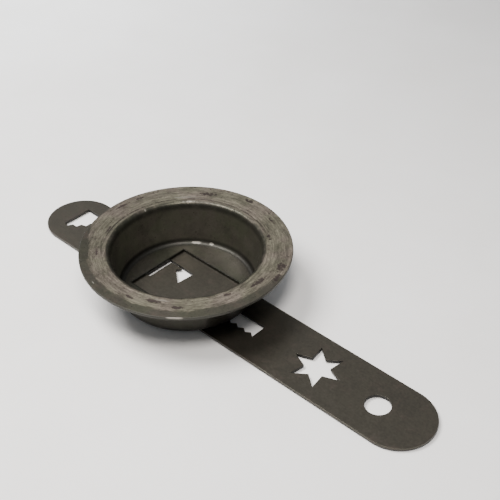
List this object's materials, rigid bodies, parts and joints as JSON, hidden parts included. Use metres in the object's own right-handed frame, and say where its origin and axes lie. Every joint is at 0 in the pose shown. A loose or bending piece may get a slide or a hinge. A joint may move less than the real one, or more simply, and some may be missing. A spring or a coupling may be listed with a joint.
{
  "type": "biscuit die attachment",
  "caption": "Biscuit attachment for a hand-cranked mincer: a flanged sheet-metal funnel cup with a flat slide of cutting-die holes running in two guide rails under its floor.",
  "frame": {"origin": "centre of the flange's seating face, on the cup's axis", "axes": "+Z along the cup's axis out of its mouth; +X along the slide towards its long end; +Y across the slide"},
  "size_m": [0.1618, 0.068, 0.0177],
  "materials": {
    "cup_steel": "worn tinned steel, rubbed bright on the seating face and dull grey-brown elsewhere",
    "rail_steel": "aged tinned steel, dull",
    "slide_steel": "dark aged steel, satin, with bright worn edges"
  },
  "bodies": {
    "cup": {"funnel_cup": "cup_steel", "left_guide_rail": "rail_steel", "right_guide_rail": "rail_steel"},
    "slide": {"die_slide": "slide_steel"}
  },
  "joints": [
    {"name": "die_select", "type": "slide", "parent": "cup", "child": "slide", "axis": [1, 0, 0], "range_m": [-0.0775, 0.053]}
  ]
}
